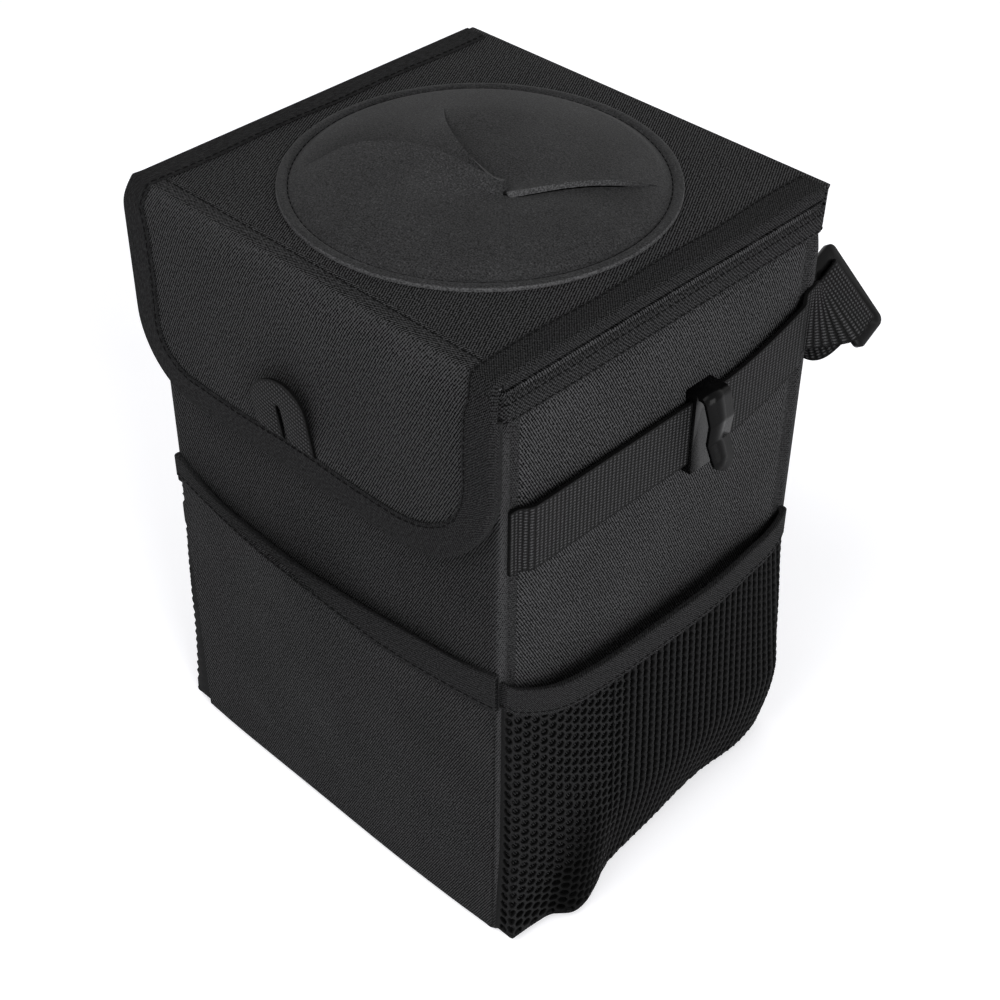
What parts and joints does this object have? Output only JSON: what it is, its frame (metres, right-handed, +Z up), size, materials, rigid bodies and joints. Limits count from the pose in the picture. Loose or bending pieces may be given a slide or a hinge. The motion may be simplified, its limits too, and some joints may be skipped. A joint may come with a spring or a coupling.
{
  "type": "car trash bin",
  "caption": "Upright soft-sided car trash bin with a fabric-hinged lid, slit neoprene chute, closing front flap, outer pockets, side straps with sliding clips and a hanging strap.",
  "frame": {"origin": "middle of the base, on the surface that the bin stands on", "axes": "+Z up, front flap and front pocket at -Y, right side with the slide buckle behind it at +X"},
  "size_m": [0.1986, 0.1919, 0.256],
  "materials": {
    "oxford_fabric": "black twill-look Oxford cloth, matt",
    "stiff_board": "plain stiffening board, hidden between cloth and lining",
    "lining_cloth": "coated waterproof lining, slight sheen",
    "binding_tape": "black woven binding tape, stitched",
    "pocket_mesh": "black knitted air mesh with small round holes",
    "ribbed_webbing": "black ribbed webbing",
    "neoprene_sheet": "dark grey knit-faced neoprene, soft matt",
    "clip_plastic": "glossy black moulded clip",
    "buckle_plastic": "satin black moulded slide buckle",
    "hook_and_loop": "black hook-and-loop tape"
  },
  "bodies": {
    "bin": {"back_board": "stiff_board", "back_panel": "oxford_fabric", "base_board": "stiff_board", "base_panel": "oxford_fabric", "front_board": "stiff_board", "front_loop_strip": "hook_and_loop", "front_panel": "oxford_fabric", "front_pocket": "oxford_fabric", "front_pocket_binding": "binding_tape", "hanging_strap": "ribbed_webbing", "inner_liner": "lining_cloth", "left_board": "stiff_board", "left_mesh_binding": "binding_tape", "left_mesh_pocket": "pocket_mesh", "left_panel": "oxford_fabric", "left_strap": "ribbed_webbing", "right_board": "stiff_board", "right_mesh_binding": "binding_tape", "right_mesh_pocket": "pocket_mesh", "right_panel": "oxford_fabric", "right_strap": "ribbed_webbing", "rim_binding": "binding_tape", "strap_buckle": "buckle_plastic"},
    "lid": {"lid_skin": "oxford_fabric", "lid_board": "stiff_board", "lid_lining": "lining_cloth", "lid_right_binding": "binding_tape", "lid_left_binding": "binding_tape", "chute_disc": "neoprene_sheet"},
    "flap": {"flap_skin": "oxford_fabric", "flap_board": "stiff_board", "flap_lining": "lining_cloth", "flap_binding": "binding_tape", "pull_loop": "ribbed_webbing", "flap_hook_strip": "hook_and_loop"},
    "clip_right": {"right_clip": "clip_plastic"},
    "clip_left": {"left_clip": "clip_plastic"}
  },
  "joints": [
    {"name": "lid_hinge", "type": "hinge", "parent": "bin", "child": "lid", "pos_m": [0, 0.076, 0.2438], "axis": [-1, 0, 0], "range_deg": [0, 180]},
    {"name": "flap_hinge", "type": "hinge", "parent": "lid", "child": "flap", "pos_m": [0, -0.0796, 0.2434], "axis": [-1, 0, 0], "range_deg": [0, 165]},
    {"name": "right_clip_slide", "type": "slide", "parent": "bin", "child": "clip_right", "axis": [0, 1, 0], "range_m": [-0.066, 0]},
    {"name": "left_clip_slide", "type": "slide", "parent": "bin", "child": "clip_left", "axis": [0, 1, 0], "range_m": [-0.066, 0]}
  ]
}
